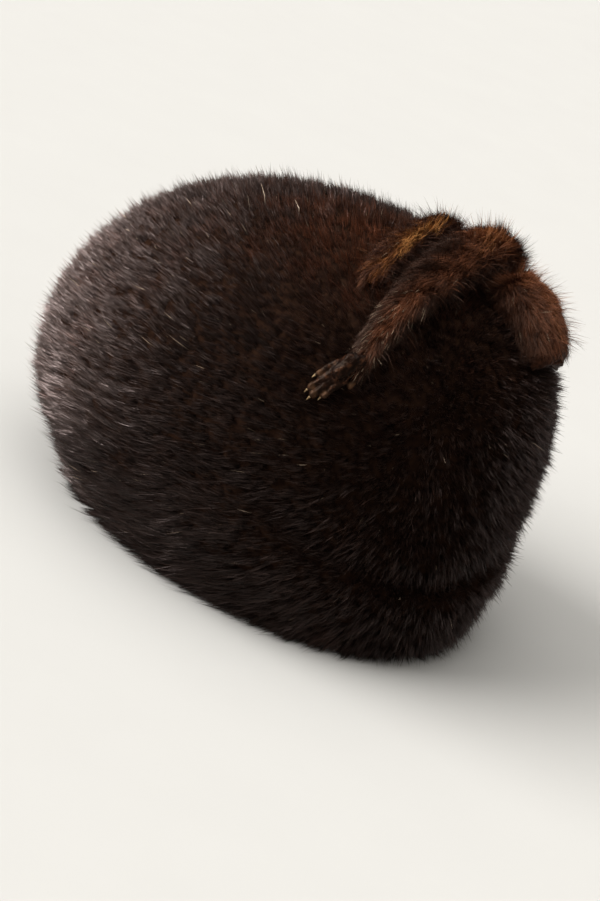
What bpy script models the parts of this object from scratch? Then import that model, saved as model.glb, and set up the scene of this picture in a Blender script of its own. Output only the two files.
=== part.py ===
"""A dark ranch-mink hat: a hollow fur crown with two gathered leg strips, a fold and a dried paw on top.

Lengths are in metres. The rim rests on z = 0, the forehead faces -Y and the wearer's left is +X.
A bearing is an angle round the vertical, 0 at the forehead and 90 at the wearer's left.
"""

import math

import bmesh
import bpy
import numpy as np

# Outer surface of the crown, a row for each level. Each level is an oval with these reaches
# from the crown's axis: columns height, front, back, side.
CROWN_LEVELS = (
    (0.000, 0.108, 0.113, 0.093),
    (0.004, 0.114, 0.118, 0.098),
    (0.014, 0.120, 0.122, 0.102),
    (0.045, 0.147, 0.1255, 0.117),
    (0.080, 0.152, 0.122, 0.119),
    (0.115, 0.142, 0.118, 0.113),
    (0.152, 0.114, 0.1055, 0.0955),
    (0.177, 0.072, 0.077, 0.064),
    (0.190, 0.000, 0.000, 0.000),
)
OVAL_POWER = 2.1
CROWN_AXIS_Y = (max(row[1] for row in CROWN_LEVELS) - max(row[2] for row in CROWN_LEVELS)) / 2

# The pelts run down from a point at the back of the crown's top, and the fur lies the same way.
KNOT_BEARING = math.radians(180)
KNOT_ELEVATION = math.radians(79)

# Locks of fur: pointed, in rows that lap over each other like shingles. A lock's ridge and its two
# edges lie this share of the lock's depth under the surface, at its middle and at its tip.
LOCKS_ROUND = 46
LOCK_ROWS = 10
LOCK_DEPTH = 0.0030
LOCK_DEPTH_SPREAD = 0.35
LOCK_POINT = 0.26
LOCK_STEP = 0.16
LOCK_MIDDLE = 0.55
RIDGE_SINKS = (0.35, 0.0)
EDGE_SINKS = (0.75, 0.5)
LOCKS_START = 0.05
LOCKS_END = 0.925
RIM_ROWS = (0.955, 0.975, 0.990, 1.0)

# Tuck where the dome is drawn in above the rolled rim: columns bearing, height, depth.
TUCK = (
    (75, 0.086, 0.0000),
    (105, 0.078, 0.0020),
    (125, 0.064, 0.0040),
    (150, 0.054, 0.0040),
    (190, 0.060, 0.0035),
    (230, 0.066, 0.0020),
    (275, 0.086, 0.0000),
)
TUCK_HALF_WIDTH = 0.009

# Inner surface: columns share of the way from the knot to the rim, wall measured towards the centre.
# The first row is the inner edge of the flat ring that the hat stands on.
INNER_ROWS = (
    (1.000, 0.0085),
    (0.985, 0.0155),
    (0.955, 0.0200),
    (0.900, 0.0220),
    (0.820, 0.0195),
    (0.680, 0.0155),
    (0.500, 0.0140),
    (0.320, 0.0140),
    (0.150, 0.0140),
)

# Strips that lie on the crown: columns across (+X), back from the axis (+Y), half width, height.
LEFT_LEG = (
    (-0.062, 0.0380, 0.0070, 0.0070),
    (-0.050, 0.0395, 0.0125, 0.0150),
    (-0.022, 0.0415, 0.0150, 0.0190),
    (0.010, 0.0430, 0.0140, 0.0170),
    (0.038, 0.0445, 0.0120, 0.0140),
    (0.060, 0.0465, 0.0098, 0.0112),
    (0.076, 0.0475, 0.0080, 0.0086),
    (0.086, 0.0485, 0.0060, 0.0066),
)
BACK_LEG = (
    (-0.0215, 0.0590, 0.0145, 0.0160),
    (-0.0215, 0.0645, 0.0190, 0.0190),
    (-0.0185, 0.0745, 0.0210, 0.0185),
    (-0.0155, 0.0845, 0.0212, 0.0165),
    (-0.0135, 0.0920, 0.0205, 0.0155),
    (-0.0122, 0.0972, 0.0190, 0.0140),
)
# Bare leather at the cut end of the back leg, past the fur.
BACK_LEG_EDGE = (
    (-0.0135, 0.0980, 0.0165, 0.0130),
    (-0.0132, 0.0994, 0.0160, 0.0130),
    (-0.0130, 0.1008, 0.0150, 0.0118),
)
TOP_FOLD = (
    (-0.046, 0.0140, 0.0040, 0.0040),
    (-0.036, 0.0150, 0.0070, 0.0075),
    (-0.014, 0.0165, 0.0080, 0.0090),
    (0.012, 0.0180, 0.0080, 0.0090),
    (0.034, 0.0200, 0.0075, 0.0078),
    (0.050, 0.0225, 0.0060, 0.0058),
    (0.060, 0.0250, 0.0035, 0.0032),
)
# Columns name, path, rows of locks (0 for bare leather), points across the arch, material.
STRIPS = (
    ("left_leg", LEFT_LEG, 9, 15, "brown_mink"),
    ("back_leg", BACK_LEG, 4, 15, "brown_mink"),
    ("top_fold", TOP_FOLD, 6, 11, "golden_mink"),
    ("back_leg_edge", BACK_LEG_EDGE, 0, 9, "pelt_leather"),
)
STRIP_POWER = 2.3
STRIP_LOCK_SHARE = 0.16
STRIP_LOCK_FIRST = 0.03
STRIP_LOCK_LAST = 0.93
PLAIN_SHARES = (0.0, 0.33, 0.67, 1.0)
GAP = 0.0003

# Dried paw. It runs from the wrist, where the left leg ends, to the longest toe.
PAW_WRIST = (0.0862, 0.0498)
PAW_TOES = (0.1045, 0.0345)
PAW_GAP = 0.0007
PAW_SIDES = 10
# Columns name, along and across where it starts, the same where it ends, radius at the start and end.
PAW_LIMBS = (
    ("palm", 0.0092, -0.0010, 0.0160, 0.0005, 0.0050, 0.0046),
    ("wrist", 0.0046, 0.0000, 0.0110, -0.0005, 0.0038, 0.0044),
    ("thumb", 0.0065, 0.0042, 0.0125, 0.0076, 0.0023, 0.0017),
    ("toe_1", 0.0150, 0.0042, 0.0256, 0.0052, 0.0026, 0.0020),
    ("toe_2", 0.0170, 0.0018, 0.0302, 0.0026, 0.0026, 0.0021),
    ("toe_3", 0.0170, -0.0012, 0.0298, -0.0008, 0.0026, 0.0021),
    ("toe_4", 0.0145, -0.0042, 0.0240, -0.0046, 0.0025, 0.0019),
)
CLAW_LENGTH = 0.0028
CLAW_RADIUS = 0.0008
CLAW_SIDES = 6
CLAW_RINGS = (0.0, 0.35, 0.7)
CLAW_BEND = 0.25
CLAW_TAPER = 0.8
CLAW_SINK = 0.6
CAP_ANGLES = (-60, -25, 25, 60)

# Columns name, colour, roughness.
FINISHES = (
    ("dark_mink", (0.012, 0.008, 0.006), 0.7),
    ("brown_mink", (0.045, 0.018, 0.010), 0.7),
    ("golden_mink", (0.090, 0.036, 0.015), 0.7),
    ("pelt_leather", (0.060, 0.030, 0.018), 0.6),
    ("dried_skin", (0.030, 0.017, 0.010), 0.4),
)

SEED = 7
SEARCH_STEPS = 40
LEVEL_SAMPLES = 600


def smooth_through(rows, samples):
    """Rows of a table read off a smooth curve through them, with level ends mirrored at the axis."""
    rows = np.array(rows)
    before = 2 * rows[0] - rows[1]
    after = rows[-2] * np.array([1.0] + [-1.0] * (rows.shape[1] - 1))
    points = np.vstack([before, rows, after])
    lengths = np.linalg.norm(np.diff(points[:, :3], axis=0) * (1.0, 0.5, 0.5), axis=1)
    along = np.concatenate([[0.0], np.cumsum(lengths)])
    slopes = (points[2:] - points[:-2]) / (along[2:] - along[:-2])[:, None]
    knots = along[1:-1]
    at = np.linspace(knots[0], knots[-1], samples)
    left = np.clip(np.searchsorted(knots, at, side="right") - 1, 0, len(knots) - 2)
    span = (knots[left + 1] - knots[left])[:, None]
    u = (at[:, None] - knots[left][:, None]) / span
    curve = (
        (2 * u**3 - 3 * u**2 + 1) * rows[left]
        + (u**3 - 2 * u**2 + u) * span * slopes[left]
        + (3 * u**2 - 2 * u**3) * rows[left + 1]
        + (u**3 - u**2) * span * slopes[left + 1]
    )
    curve[:, 0] = np.maximum.accumulate(curve[:, 0])
    return curve


LEVELS = smooth_through(CROWN_LEVELS, LEVEL_SAMPLES)
CROWN_HEIGHT = CROWN_LEVELS[-1][0]


def oval_measure(points):
    """Below 1 inside the oval of the point's own level, and above 1 outside it."""
    height = points[..., 2]
    front, back, side = (np.interp(height, LEVELS[:, 0], LEVELS[:, i]) for i in (1, 2, 3))
    lengthwise = np.where(points[..., 1] < 0, front, back)
    measure = (np.abs(points[..., 0]) / np.maximum(side, 1e-6)) ** OVAL_POWER
    measure += (np.abs(points[..., 1]) / np.maximum(lengthwise, 1e-6)) ** OVAL_POWER
    return np.where(height > CROWN_HEIGHT, np.inf, measure)


def reach(directions):
    """Distance from the middle of the rim to the crown's surface, by halving, for unit directions."""
    low = np.zeros(directions.shape[:-1])
    high = np.full(directions.shape[:-1], 2 * CROWN_HEIGHT)
    for _ in range(SEARCH_STEPS):
        middle = (low + high) / 2
        inside = oval_measure(directions * middle[..., None]) < 1
        low = np.where(inside, middle, low)
        high = np.where(inside, high, middle)
    return low


def crown_point(across, back):
    """Point of the upper crown straight above a place in plan."""
    place = np.stack(np.broadcast_arrays(across, back), -1)
    low = np.full(place.shape[:-1], CROWN_LEVELS[4][0])
    high = np.full(place.shape[:-1], CROWN_HEIGHT)
    for _ in range(SEARCH_STEPS):
        middle = (low + high) / 2
        inside = oval_measure(np.concatenate([place, middle[..., None]], -1)) < 1
        low = np.where(inside, middle, low)
        high = np.where(inside, high, middle)
    return np.concatenate([place, low[..., None]], -1)


def unit(vectors):
    return vectors / np.linalg.norm(vectors, axis=-1, keepdims=True)


def lifted(points, height):
    """The same directions from the middle of the rim, at this height over the crown's surface."""
    directions = unit(points)
    return directions * (reach(directions) + height)[..., None]


def knot_to_rim(bearing, share):
    """Directions along great arcs from the knot (share 0) to the rim (share 1)."""
    knot = np.array([
        math.sin(KNOT_BEARING) * math.cos(KNOT_ELEVATION),
        -math.cos(KNOT_BEARING) * math.cos(KNOT_ELEVATION),
        math.sin(KNOT_ELEVATION),
    ])
    rim = np.stack([np.sin(bearing), -np.cos(bearing), np.zeros_like(bearing)], -1)
    angle = np.arccos(np.clip(rim @ knot, -1, 1))
    towards_knot = np.sin((1 - share) * angle) / np.sin(angle)
    towards_rim = np.sin(share * angle) / np.sin(angle)
    return towards_knot[..., None] * knot + towards_rim[..., None] * rim


def tuck_depth(directions, distance):
    """How far the tuck draws the surface in: a bell-shaped groove along its table's line."""
    table = np.array(TUCK)
    bearing = np.degrees(np.arctan2(directions[..., 0], -directions[..., 1])) % 360
    line = np.interp(bearing, table[:, 0], table[:, 1])
    depth = np.interp(bearing, table[:, 0], table[:, 2])
    height = directions[..., 2] * distance
    return depth * np.exp(-(((height - line) / TUCK_HALF_WIDTH) ** 2))


def lock_rows(rows, columns, start, end, random):
    """(shares, depths) of the grid rows that shape rows of locks between two shares of the way.

    Each lock has a low root, a middle and a raised tip. Its ridge runs on to a point, and each row
    of locks is half a lock round from the last. The locks die away in the last rows."""
    grid = []
    length = (end - start) / rows
    spread = 1 + LOCK_DEPTH_SPREAD * random.uniform(-1, 1, (rows, columns))
    for row in range(rows):
        ridge = (np.arange(columns) + row) % 2 == 0
        fade = 1 - (row / rows) ** 6
        point = LOCK_POINT * length * fade
        root = start + (row + LOCK_STEP) * length + np.where(ridge, -point, point)
        tip = start + (row + 1) * length + np.where(ridge, point, -point)
        depth = spread[row] * fade
        middle_sink, tip_sink = (np.where(ridge, *sinks) for sinks in zip(RIDGE_SINKS, EDGE_SINKS))
        grid.append((root, depth))
        grid.append((root + LOCK_MIDDLE * (tip - root), depth * middle_sink))
        grid.append((tip, depth * tip_sink))
    return grid


def crown_outer(columns, bearing):
    """Rows of points from beside the knot down to the rim's outer edge."""
    grid = lock_rows(LOCK_ROWS, columns, LOCKS_START, LOCKS_END, np.random.default_rng(SEED))
    grid += [(np.full(columns, share), np.zeros(columns)) for share in RIM_ROWS]
    rows = []
    for share, depth in grid:
        directions = knot_to_rim(bearing, share)
        distance = reach(directions)
        distance -= LOCK_DEPTH * depth + tuck_depth(directions, distance)
        rows.append(directions * distance[:, None])
    return rows


def crown_inner(columns, bearing):
    """Rows of points from the inner edge of the ring that the hat stands on up to the hollow's top."""
    rows = []
    for share, wall in INNER_ROWS:
        directions = knot_to_rim(bearing, np.full(columns, share))
        rows.append(directions * (reach(directions) - wall)[:, None])
    return rows


def closed_mesh(name, rows, start, end):
    """One closed body: rings of equal count joined in order, with a point closing each end."""
    count = len(rows[0])
    points = np.vstack([start, *rows, end])
    faces = []
    for k in range(count):
        after = (k + 1) % count
        faces.append((0, 1 + k, 1 + after))
        last = 1 + (len(rows) - 1) * count
        faces.append((len(points) - 1, last + after, last + k))
        for row in range(len(rows) - 1):
            upper = 1 + row * count
            lower = upper + count
            faces.append((upper + k, lower + k, lower + after, upper + after))
    mesh = bpy.data.meshes.new(name)
    mesh.from_pydata((points + (0, CROWN_AXIS_Y, 0)).tolist(), [], faces)
    return mesh


def solid_object(name, mesh, material):
    """An object with its faces turned outwards and shaded smooth."""
    shape = bmesh.new()
    shape.from_mesh(mesh)
    bmesh.ops.recalc_face_normals(shape, faces=shape.faces)
    shape.to_mesh(mesh)
    shape.free()
    mesh.shade_smooth()
    mesh.materials.append(bpy.data.materials[material])
    piece = bpy.data.objects.new(name, mesh)
    bpy.context.scene.collection.objects.link(piece)
    return piece


def finish(name, colour, roughness):
    material = bpy.data.materials.new(name)
    material.use_nodes = True
    shader = material.node_tree.nodes["Principled BSDF"]
    shader.inputs["Base Color"].default_value = (*colour, 1)
    shader.inputs["Roughness"].default_value = roughness
    shader.inputs["Metallic"].default_value = 0


def make_crown():
    columns = 2 * LOCKS_ROUND
    bearing = np.arange(columns) * 2 * math.pi / columns
    outer = crown_outer(columns, bearing)
    inner = crown_inner(columns, bearing)
    knot = knot_to_rim(bearing[:1], np.zeros(1))
    outside = knot * (reach(knot) - LOCK_DEPTH / 2)[:, None]
    inside = knot * (reach(knot) - INNER_ROWS[-1][1])[:, None]
    mesh = closed_mesh("crown", outer + inner, outside, inside)
    return solid_object("crown", mesh, "dark_mink")


def strip_at(table, shares):
    """(places on the crown, half widths, heights) at shares of a smooth line through a strip's table."""
    rows = np.array(table)
    ghosts = np.vstack([2 * rows[0] - rows[1], rows, 2 * rows[-1] - rows[-2]])
    along = np.concatenate([[0.0], np.cumsum(np.linalg.norm(np.diff(rows[:, :2], axis=0), axis=1))])
    at = shares * along[-1]
    left = np.clip(np.searchsorted(along, at, side="right") - 1, 0, len(along) - 2)
    u = ((at - along[left]) / (along[left + 1] - along[left]))[:, None]
    a, b, c, d = (ghosts[left + k] for k in range(4))
    curve = b + 0.5 * ((c - a) * u + (2 * a - 5 * b + 4 * c - d) * u**2 + (3 * b - a - 3 * c + d) * u**3)
    return crown_point(curve[:, 0], curve[:, 1]), curve[:, 2], curve[:, 3]


def strip_ring(table, shares, offsets, heights):
    """A ring across a strip: offsets in half widths, and heights as shares of the strip's own height."""
    places, half_widths, tallest = strip_at(table, shares)
    step = 0.01
    ahead, behind = (strip_at(table, shares + move)[0] for move in (step, -step))
    across = unit(np.cross(unit(places), unit(ahead - behind)))
    places = places + across * (offsets * half_widths)[:, None]
    return lifted(places, GAP + heights * tallest)


def make_strip(name, table, rows, sides, material):
    """A strip with a flat underside that follows the crown, under an arch of fur in locks or of leather.

    The arch is half a rounded oval, and its last ring and its first are plain."""
    upper = np.linspace(-1, 1, sides)
    lower = np.linspace(1, -1, sides // 3 + 2)[1:-1]
    offsets = np.concatenate([upper, lower])
    arch = (1 - np.abs(upper) ** STRIP_POWER) ** (1 / STRIP_POWER)
    grid = [(np.full(sides, share), np.zeros(sides)) for share in PLAIN_SHARES]
    if rows:
        locks = lock_rows(rows, sides, STRIP_LOCK_FIRST, STRIP_LOCK_LAST, np.random.default_rng(SEED))
        grid = [grid[0], *locks, grid[-1]]
    rings = []
    for share, depth in grid:
        shares = np.concatenate([share, np.full(len(lower), share.mean())])
        heights = np.concatenate([arch * (1 - STRIP_LOCK_SHARE * depth), np.zeros(len(lower))])
        rings.append(strip_ring(table, shares, offsets, heights))
    ends = [ring.mean(axis=0)[None] for ring in (rings[0], rings[-1])]
    return solid_object(name, closed_mesh(name, rings, *ends), material)


def capsule(name, start, end, radius_start, radius_end, material):
    """A tapered rod with round ends: rings along its length, each as wide as the two end balls allow."""
    axis = unit(end - start)
    first = unit(np.cross(axis, unit(start)))
    second = np.cross(axis, first)
    turn = np.arange(PAW_SIDES) * 2 * math.pi / PAW_SIDES
    circle = np.cos(turn)[:, None] * first + np.sin(turn)[:, None] * second
    rings = []
    for angle in CAP_ANGLES:
        at_end = angle > 0
        radius = radius_end if at_end else radius_start
        centre = end if at_end else start
        lift = radius * math.sin(math.radians(angle))
        rings.append(centre + axis * lift + circle * radius * math.cos(math.radians(angle)))
    mesh = closed_mesh(name, rings, (start - axis * radius_start)[None], (end + axis * radius_end)[None])
    return solid_object(name, mesh, material)


def claw(name, start, direction, down, material):
    """A curved claw: rings that shrink along a parabola, which bends down towards the tip."""
    across = unit(np.cross(direction, down))
    turn = np.arange(CLAW_SIDES) * 2 * math.pi / CLAW_SIDES
    circle = np.cos(turn)[:, None] * across + np.sin(turn)[:, None] * down
    shares = np.array([*CLAW_RINGS, 1.0])[:, None]
    line = start + CLAW_LENGTH * (direction * shares + down * CLAW_BEND * shares**2)
    radii = CLAW_RADIUS * (1 - CLAW_TAPER * np.array(CLAW_RINGS))
    rings = [centre + circle * radius for centre, radius in zip(line, radii)]
    mesh = closed_mesh(name, rings, (start - direction * CLAW_RADIUS)[None], line[-1:])
    return solid_object(name, mesh, material)


def paw_axes():
    """(wrist, along, across) of the paw, in the plane that touches the crown at its middle."""
    wrist, toes = (crown_point(*place) for place in (PAW_WRIST, PAW_TOES))
    along = unit(toes - wrist)
    across = unit(np.cross(unit((wrist + toes) / 2), along))
    return wrist, along, across


def make_paw():
    """Palm, wrist, thumb, toes and claws, each set on the crown, united into one body."""
    material = "dried_skin"
    wrist, along, across = paw_axes()
    limbs = []
    for name, at, side, end_at, end_side, radius, end_radius in PAW_LIMBS:
        start = lifted(wrist + along * at + across * side, radius + PAW_GAP)
        end = lifted(wrist + along * end_at + across * end_side, end_radius + PAW_GAP)
        limbs.append(capsule(name, start, end, radius, end_radius, material))
        if name.startswith("toe"):
            root = end + unit(end - start) * end_radius * CLAW_SINK
            limbs.append(claw(name + "_claw", root, unit(end - start), -unit(end), material))
    return united("left_paw", limbs)


def united(name, pieces):
    """The first piece with the others joined to it by exact Booleans, which stay out of the render."""
    whole = pieces[0]
    whole.name = name
    for piece in pieces[1:]:
        join = whole.modifiers.new(piece.name, "BOOLEAN")
        join.operation = "UNION"
        join.object = piece
        piece.hide_render = True
        piece.display_type = "WIRE"
    return whole


def clear_scene():
    for thing in list(bpy.data.objects):
        bpy.data.objects.remove(thing, do_unlink=True)


def main():
    clear_scene()
    for row in FINISHES:
        finish(*row)
    make_crown()
    for row in STRIPS:
        make_strip(*row)
    make_paw()


main()
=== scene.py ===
"""A dark ranch-mink hat, dressed in its fur. Lengths are in metres unless a name says otherwise.

The rim rests on z = 0, the forehead faces -Y and the wearer's left is +X. A bearing is an angle
round the vertical, 0 at the forehead and 90 at the wearer's left.
"""

import math

import bpy
import numpy as np
from mathutils import Matrix


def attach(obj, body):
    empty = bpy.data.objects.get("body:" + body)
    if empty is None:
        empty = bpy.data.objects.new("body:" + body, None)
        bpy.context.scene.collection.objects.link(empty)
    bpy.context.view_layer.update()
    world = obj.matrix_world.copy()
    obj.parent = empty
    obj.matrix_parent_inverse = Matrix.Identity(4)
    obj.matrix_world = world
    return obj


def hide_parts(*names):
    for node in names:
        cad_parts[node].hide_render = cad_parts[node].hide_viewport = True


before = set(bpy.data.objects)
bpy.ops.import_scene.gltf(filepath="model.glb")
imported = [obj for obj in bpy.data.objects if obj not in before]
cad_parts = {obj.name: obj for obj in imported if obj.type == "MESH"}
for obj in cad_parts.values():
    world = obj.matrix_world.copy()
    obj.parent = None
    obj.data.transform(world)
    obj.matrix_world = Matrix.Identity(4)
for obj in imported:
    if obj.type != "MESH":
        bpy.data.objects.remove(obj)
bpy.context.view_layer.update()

MM = 0.001

# Dense outline of the crown's fur: an oval at each level, with these reaches from the crown's axis.
# Columns height, front, back, side.
CROWN_LEVELS = (
    (0.000, 0.108, 0.113, 0.093),
    (0.004, 0.114, 0.118, 0.098),
    (0.014, 0.120, 0.122, 0.102),
    (0.045, 0.147, 0.1255, 0.117),
    (0.080, 0.152, 0.122, 0.119),
    (0.115, 0.142, 0.118, 0.113),
    (0.152, 0.114, 0.1055, 0.0955),
    (0.177, 0.072, 0.077, 0.064),
    (0.190, 0.000, 0.000, 0.000),
)
OVAL_POWER = 2.1
CROWN_AXIS_Y = (max(row[1] for row in CROWN_LEVELS) - max(row[2] for row in CROWN_LEVELS)) / 2
CROWN_HEIGHT = CROWN_LEVELS[-1][0]
WIDEST_LEVEL = CROWN_LEVELS[4][0]
LEVEL_SAMPLES = 600
# In the spacing of the levels a rise counts in full, and a change of reach by half.
SPACING = (1.0, 0.5, 0.5)
SEARCH_STEPS = 22
LEAST_REACH = 1e-6

# The pelts run down from a point at the back of the crown's top, and the fur lies the same way.
KNOT_BEARING = math.radians(180)
KNOT_ELEVATION = math.radians(79)

# Tuck where the dome is drawn in above the rolled rim: columns bearing, height, depth.
TUCK = (
    (75, 0.086, 0.0000),
    (105, 0.078, 0.0020),
    (125, 0.064, 0.0040),
    (150, 0.054, 0.0040),
    (190, 0.060, 0.0035),
    (230, 0.066, 0.0020),
    (275, 0.086, 0.0000),
)
TUCK_HALF_WIDTH = 0.009

# Inner wall: columns share of the way from the knot to the rim, wall measured towards the centre.
INNER_ROWS = (
    (1.000, 0.0085),
    (0.985, 0.0155),
    (0.955, 0.0200),
    (0.900, 0.0220),
    (0.820, 0.0195),
    (0.680, 0.0155),
    (0.500, 0.0140),
    (0.000, 0.0140),
)

# Strips on the crown: columns across (+X), back from the axis (+Y), half width, height.
LEFT_LEG = (
    (-0.062, 0.0380, 0.0070, 0.0070),
    (-0.050, 0.0395, 0.0125, 0.0150),
    (-0.022, 0.0415, 0.0150, 0.0190),
    (0.010, 0.0430, 0.0140, 0.0170),
    (0.038, 0.0445, 0.0120, 0.0140),
    (0.060, 0.0465, 0.0098, 0.0112),
    (0.076, 0.0475, 0.0080, 0.0086),
    (0.086, 0.0485, 0.0060, 0.0066),
)
BACK_LEG = (
    (-0.0215, 0.0590, 0.0145, 0.0130),
    (-0.0215, 0.0645, 0.0185, 0.0156),
    (-0.0185, 0.0745, 0.0210, 0.0172),
    (-0.0155, 0.0845, 0.0212, 0.0165),
    (-0.0135, 0.0920, 0.0205, 0.0155),
    (-0.0122, 0.0972, 0.0190, 0.0140),
)
BACK_LEG_EDGE = (
    (-0.0135, 0.0980, 0.0165, 0.0130),
    (-0.0132, 0.0994, 0.0160, 0.0130),
    (-0.0130, 0.1008, 0.0150, 0.0118),
)
TOP_FOLD = (
    (-0.046, 0.0140, 0.0040, 0.0040),
    (-0.036, 0.0150, 0.0070, 0.0075),
    (-0.014, 0.0165, 0.0080, 0.0090),
    (0.012, 0.0180, 0.0080, 0.0090),
    (0.034, 0.0200, 0.0075, 0.0078),
    (0.050, 0.0225, 0.0060, 0.0058),
    (0.060, 0.0250, 0.0035, 0.0032),
)
STRIP_POWER = 2.3
GAP = 0.3 * MM

# Materials by their use, filled by make_finishes.
FINISH = {}


def smooth_through(rows, samples):
    """Rows of a table read off a Hermite curve through them, mirrored at the axis on top."""
    rows = np.array(rows)
    before = 2 * rows[0] - rows[1]
    after = rows[-2] * np.array([1.0] + [-1.0] * (rows.shape[1] - 1))
    points = np.vstack([before, rows, after])
    lengths = np.linalg.norm(np.diff(points[:, :3], axis=0) * SPACING, axis=1)
    along = np.concatenate([[0.0], np.cumsum(lengths)])
    slopes = (points[2:] - points[:-2]) / (along[2:] - along[:-2])[:, None]
    knots = along[1:-1]
    at = np.linspace(knots[0], knots[-1], samples)
    left = np.clip(np.searchsorted(knots, at, side="right") - 1, 0, len(knots) - 2)
    span = (knots[left + 1] - knots[left])[:, None]
    u = (at[:, None] - knots[left][:, None]) / span
    curve = (
        (2 * u**3 - 3 * u**2 + 1) * rows[left]
        + (u**3 - 2 * u**2 + u) * span * slopes[left]
        + (3 * u**2 - 2 * u**3) * rows[left + 1]
        + (u**3 - u**2) * span * slopes[left + 1]
    )
    curve[:, 0] = np.maximum.accumulate(curve[:, 0])
    return curve


LEVELS = smooth_through(CROWN_LEVELS, LEVEL_SAMPLES)


def unit(vectors):
    """The vectors, each over its own length."""
    return vectors / np.linalg.norm(vectors, axis=-1, keepdims=True)


def oval_measure(points):
    """Below 1 inside the oval of the point's own level, above 1 outside: |x/side|^p + |y/end|^p."""
    height = points[..., 2]
    front, back, side = (np.interp(height, LEVELS[:, 0], LEVELS[:, i]) for i in (1, 2, 3))
    end = np.where(points[..., 1] < 0, front, back)
    measure = (np.abs(points[..., 0]) / np.maximum(side, LEAST_REACH)) ** OVAL_POWER
    measure += (np.abs(points[..., 1]) / np.maximum(end, LEAST_REACH)) ** OVAL_POWER
    return np.where(height > CROWN_HEIGHT, np.inf, measure)


def by_halving(shape, low, high, point_at):
    """Largest values from low to high whose points are in the crown, by halving the span."""
    low, high = np.full(shape, low), np.full(shape, high)
    for _ in range(SEARCH_STEPS):
        middle = (low + high) / 2
        inside = oval_measure(point_at(middle)) < 1
        low = np.where(inside, middle, low)
        high = np.where(inside, high, middle)
    return low


def reach(directions):
    """Distance from the middle of the rim to the crown's surface along unit directions."""
    return by_halving(directions.shape[:-1], 0.0, 2 * CROWN_HEIGHT,
                      lambda far: directions * far[..., None])


def crown_point(across, back):
    """Point of the upper crown straight above a place in plan."""
    place = np.stack(np.broadcast_arrays(across, back), -1)

    def at_height(height):
        return np.concatenate([place, height[..., None]], -1)

    return at_height(by_halving(place.shape[:-1], WIDEST_LEVEL, CROWN_HEIGHT, at_height))


def lifted(points, height):
    """The same directions from the middle of the rim, at this height over the crown's surface."""
    directions = unit(points)
    return directions * (reach(directions) + height)[..., None]


def knot_to_rim(bearing, share):
    """Directions along great arcs from the knot (share 0) to the rim (share 1)."""
    knot = np.array([
        math.sin(KNOT_BEARING) * math.cos(KNOT_ELEVATION),
        -math.cos(KNOT_BEARING) * math.cos(KNOT_ELEVATION),
        math.sin(KNOT_ELEVATION),
    ])
    rim = np.stack([np.sin(bearing), -np.cos(bearing), np.zeros_like(bearing)], -1)
    angle = np.arccos(np.clip(rim @ knot, -1, 1))
    towards_knot = np.sin((1 - share) * angle) / np.sin(angle)
    towards_rim = np.sin(share * angle) / np.sin(angle)
    return towards_knot[..., None] * knot + towards_rim[..., None] * rim


def tuck_depth(points):
    """How far the tuck draws the surface in: a bell-shaped groove along its table's line."""
    table = np.array(TUCK)
    bearing = np.degrees(np.arctan2(points[..., 0], -points[..., 1])) % 360
    line = np.interp(bearing, table[:, 0], table[:, 1])
    depth = np.interp(bearing, table[:, 0], table[:, 2])
    return depth * np.exp(-(((points[..., 2] - line) / TUCK_HALF_WIDTH) ** 2))


def crown_surface(bearing, share, height=0.0):
    """Point at a bearing and share of the way from knot to rim, at a height over the crown."""
    directions = unit(knot_to_rim(bearing, share))
    points = directions * reach(directions)[..., None]
    return points + directions * (height - tuck_depth(points))[..., None]


def strip_line(table, shares):
    """(places on the crown, half widths, heights) on a Catmull-Rom line through a strip's table."""
    rows = np.array(table)
    ghosts = np.vstack([2 * rows[0] - rows[1], rows, 2 * rows[-1] - rows[-2]])
    along = np.concatenate([[0.0], np.cumsum(np.linalg.norm(np.diff(rows[:, :2], axis=0), axis=1))])
    at = shares * along[-1]
    left = np.clip(np.searchsorted(along, at, side="right") - 1, 0, len(along) - 2)
    u = ((at - along[left]) / (along[left + 1] - along[left]))[..., None]
    a, b, c, d = (ghosts[left + k] for k in range(4))
    bend = (2 * a - 5 * b + 4 * c - d) * u**2 + (3 * b - a - 3 * c + d) * u**3
    curve = b + 0.5 * ((c - a) * u + bend)
    return crown_point(curve[..., 0], curve[..., 1]), curve[..., 2], curve[..., 3]


def strip_surface(table, shares, turn, sink=0.0):
    """Point on a strip's arch: shares along it, and turn from -1 to 1 over it, sunk by a length.

    The offset is the sine of the turn's quarter circle, the height (1 - |offset|^p)^(1/p) of the
    tallest."""
    places, half_widths, tallest = strip_line(table, shares)
    step = 0.01
    ahead, behind = (strip_line(table, shares + move)[0] for move in (step, -step))
    across = unit(np.cross(unit(places), unit(ahead - behind)))
    offset = np.sin(turn * math.pi / 2)
    arch = np.maximum(1 - np.abs(offset) ** STRIP_POWER, 0) ** (1 / STRIP_POWER)
    places = places + across * (offset * np.maximum(half_widths - sink, 0))[..., None]
    return lifted(places, GAP + arch * np.maximum(tallest - sink, 0))


def surface_frames(surface, across, along, step):
    """(normals, directions along) of a surface of two values, by central differences."""
    ahead = unit(surface(across, along + step) - surface(across, along - step))
    round_ = surface(across + step, along) - surface(across - step, along)
    return unit(np.cross(ahead, round_)), ahead


def eased(values, low, high):
    """0 up to low, 1 from high on, and 3t^2 - 2t^3 between them."""
    t = np.clip((values - low) / (high - low), 0, 1)
    return t * t * (3 - 2 * t)


def waves(points, wavelength, seed):
    """Smooth noise, mostly from -1 to 1: a third of eight sines' sum, of random way and phase."""
    random = np.random.default_rng(seed)
    ways = unit(random.normal(size=(8, 3))) * 2 * math.pi / wavelength
    phases = random.uniform(0, 2 * math.pi, 8)
    return np.sin(points @ ways.T + phases).sum(-1) / 3


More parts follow.
